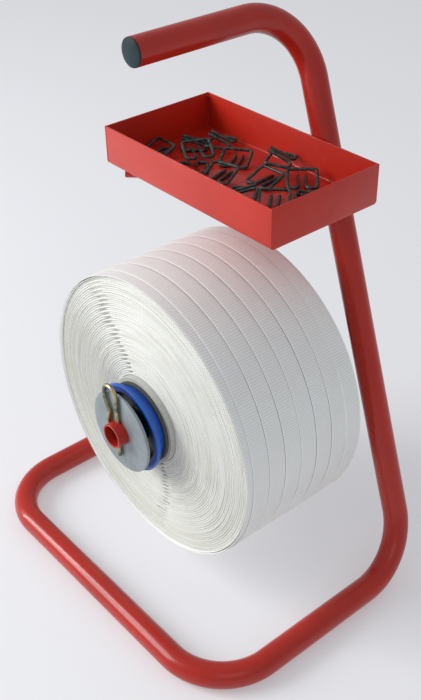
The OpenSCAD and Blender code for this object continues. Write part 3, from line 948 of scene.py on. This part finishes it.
def faceTree(name, material, e):
    # the strap's edges as rings on one face of the coil, with gaps where it turns back
    tree, size = startTree(name, (
        "Inner Radius", "Outer Radius", "Ring Step", "Face Y", "Outward", "Depth", "Axle Z", "Slump", "Seed",
        "Gap Depth"), ("Round Steps",))
    span = minus(tree, size["Outer Radius"], size["Inner Radius"])
    count = calc(tree, "FLOOR", calc(tree, "DIVIDE", span, size["Ring Step"]))
    row = addNode(tree, "GeometryNodePoints", {"Count": count})
    index = addNode(tree, "GeometryNodeInputIndex").outputs[0]
    circle = addNode(tree, "GeometryNodeCurvePrimitiveCircle", {
        "Resolution": size["Round Steps"], "Radius": 1.0})
    rings = addNode(tree, "GeometryNodeInstanceOnPoints", {
        "Points": store(tree, row.outputs[0], "ring", index), "Instance": circle.outputs[0]})
    curves = addNode(tree, "GeometryNodeRealizeInstances", {0: rings.outputs[0]}).outputs[0]
    number = addNode(tree, "GeometryNodeInputNamedAttribute", {"Name": "ring"}, data_type="FLOAT").outputs[0]
    spot = splitXYZ(tree, addNode(tree, "GeometryNodeInputPosition").outputs[0])
    theta = calc(tree, "ARCTAN2", spot[1], spot[0])
    offset = times(tree, plus(tree, number, 0.5), size["Ring Step"])
    base = plus(tree, size["Inner Radius"], offset)
    share = calc(tree, "DIVIDE", minus(tree, base, size["Inner Radius"]), span)

    def ripple(scale, shift):
        ring = plus(tree, times(tree, number, e["seedStep"]), plus(tree, size["Seed"], shift))
        point = joinXYZ(tree, times(tree, spot[0], scale), times(tree, spot[1], scale), ring)
        value = addNode(tree, "ShaderNodeTexNoise", {
            "Vector": point, "Scale": 1.0, "Detail": 1.0}).outputs["Fac"]
        return minus(tree, value, 0.5)

    # the turn-backs wander a little from ring to ring
    gap = None
    for angle, drift in e["rows"]:
        stray = times(tree, ripple(0.0, angle), e["stray"])
        start = plus(tree, math.radians(90 - angle), stray)
        centre = plus(tree, times(tree, share, math.radians(drift)), start)
        away = minus(tree, theta, centre)
        away = calc(tree, "ARCTAN2", calc(tree, "SINE", away), calc(tree, "COSINE", away))
        squared = calc(tree, "POWER", calc(tree, "DIVIDE", away, e["rowWidth"]), 2.0)
        hump = calc(tree, "EXPONENT", times(tree, squared, -1.0))
        gap = hump if gap is None else plus(tree, gap, hump)
    odd = calc(tree, "PINGPONG", number, 1.0)
    dip = times(tree, times(tree, gap, size["Gap Depth"]), odd)
    rough = plus(tree, times(tree, ripple(e["waveScale"], 11.0), e["waveDepth"]),
                 times(tree, ripple(0.0, 3.0), e["ringDepth"]))
    slump = times(tree, calc(tree, "POWER", share, e["slumpPower"]), size["Slump"])
    inward = plus(tree, plus(tree, dip, slump), plus(tree, rough, e["inset"]))
    y = minus(tree, size["Face Y"], times(tree, inward, size["Outward"]))
    radius = plus(tree, base, times(tree, ripple(e["swayScale"], 5.0), e["sway"]))
    z = plus(tree, times(tree, radius, spot[1]), size["Axle Z"])
    place = joinXYZ(tree, times(tree, radius, spot[0]), y, z)
    moved = addNode(tree, "GeometryNodeSetPosition", {0: curves, "Position": place})
    upright = addNode(tree, "GeometryNodeSetCurveNormal", {
        0: moved.outputs[0], "Normal": (0.0, 1.0, 0.0)}, mode="FREE")
    edge = addNode(tree, "GeometryNodeCurvePrimitiveQuadrilateral", {
        0: size["Depth"], 1: size["Ring Step"]})
    soft = addNode(tree, "GeometryNodeFilletCurve", {
        "Curve": edge.outputs[0], "Count": 1, "Radius": times(tree, size["Ring Step"], e["soft"])},
        mode="POLY")
    skin = addNode(tree, "GeometryNodeCurveToMesh", {
        "Curve": upright.outputs[0], "Profile Curve": soft.outputs[0]})
    endTree(tree, skin.outputs[0], material)
    return tree


faces = faceTree("strapEdgeRings", strapEdges, faceRings)
for name, y, way, seed in (("strapEdgesFront", coilLow.y, -1.0, 0.0),
                           ("strapEdgesRear", coilHigh.y, 1.0, 40.0)):
    face = runTree(name, faces, {
        "Inner Radius": coil["inner"], "Outer Radius": coil["outer"] - faceRings["lower"],
        "Ring Step": faceRings["step"], "Face Y": y - way * faceRings["depth"] / 2, "Outward": way,
        "Depth": faceRings["depth"], "Axle Z": axleZ, "Slump": faceRings["slump"], "Seed": seed,
        "Gap Depth": faceRings["gapDepth"], "Round Steps": faceRings["roundSteps"]})
    settle(tidyMesh(face, merge=tiny, sharp=faceRings["sharp"]), "coil", "woven_strap")

fill = {"back": 0.0042, "lower": 0.0022, "edge": 0.001, "segments": 180}
filling = ringOutline(coil["outer"] - fill["lower"], coil["inner"],
                      coilHigh.y - coilLow.y - 2 * fill["back"], fill["edge"])
fillStart = (0, coilLow.y + fill["back"], axleZ)
core = turn("strapFilling", filling, strapEdges, fillStart, (0, 1, 0), fill["segments"])
settle(core, "coil", "woven_strap")


# CAD pieces kept as they are
for node, material in (("axle_weld", tubeEnamel), ("rod_weld", tubeEnamel)):
    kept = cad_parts[node]
    for slotted in kept.material_slots:
        slotted.material = material


# floor and light
studio = {
    "floor": (0.58, 0.58, 0.59), "far": (0.60, 0.60, 0.62), "floorReach": 9, "floorGlow": 0.28,
    "cloudScale": 1.3, "grainScale": 500.0, "grainDepth": 0.00002, "roughness": (0.5, 0.65),
    "world": (0.88, 0.91, 0.95), "worldStrength": 0.52, "lightTarget": (0, 0, 0.2),
    # power in watts, size and place in metres, colour
    "lights": {"key": (48.0, (1.5, 1.5), (-1.5, -1.9, 1.55), (1, 1, 1)),
               "strip": (9.0, (0.16, 1.7), (-1.35, -1.15, 1.0), (1, 1, 1)),
               "fill": (3.0, (1.2, 1.2), (1.7, -0.9, 1.7), (0.95, 0.97, 1.0))},
}


def makeFloor(s):
    mesh = bpy.data.meshes.new("floor")
    r = s["floorReach"]
    mesh.from_pydata([(-r, -r, 0), (r, -r, 0), (r, r, 0), (-r, r, 0)], [], [(0, 1, 2, 3)])
    material, tree, shader = newMaterial("floorPaper", specular_ior_level=0.25)
    point = objectPoint(tree)
    cloud = grain(tree, point, s["cloudScale"], detail=2.0)
    feed(tree, shader, "Base Color", blendColor(tree, cloud, s["floor"], s["far"]))
    feed(tree, shader, "Roughness", spread(tree, cloud, *s["roughness"]))
    shader.inputs["Emission Color"].default_value = (*s["far"], 1)
    shader.inputs["Emission Strength"].default_value = s["floorGlow"] / s["far"][0]
    addBump(tree, shader, [(grain(tree, point, s["grainScale"]), s["grainDepth"])])
    floor = addPiece("floor", mesh, material)


def makeLight(name, power, size, place, color, target):
    data = bpy.data.lights.new(name, "AREA")
    data.energy, data.shape, data.color = power, "RECTANGLE", color
    data.size, data.size_y = size
    light = bpy.data.objects.new(name, data)
    light.location = place
    light.rotation_euler = (Vector(place) - Vector(target)).to_track_quat("Z", "Y").to_euler()
    scene.collection.objects.link(light)


makeFloor(studio)
for name, values in studio["lights"].items():
    makeLight(name, *values, studio["lightTarget"])
world = bpy.data.worlds.new("studio")
scene.world = world
world.use_nodes = True
backdrop = world.node_tree.nodes["Background"]
backdrop.inputs[0].default_value = (*studio["world"], 1)
backdrop.inputs[1].default_value = studio["worldStrength"]
print("studio ready")
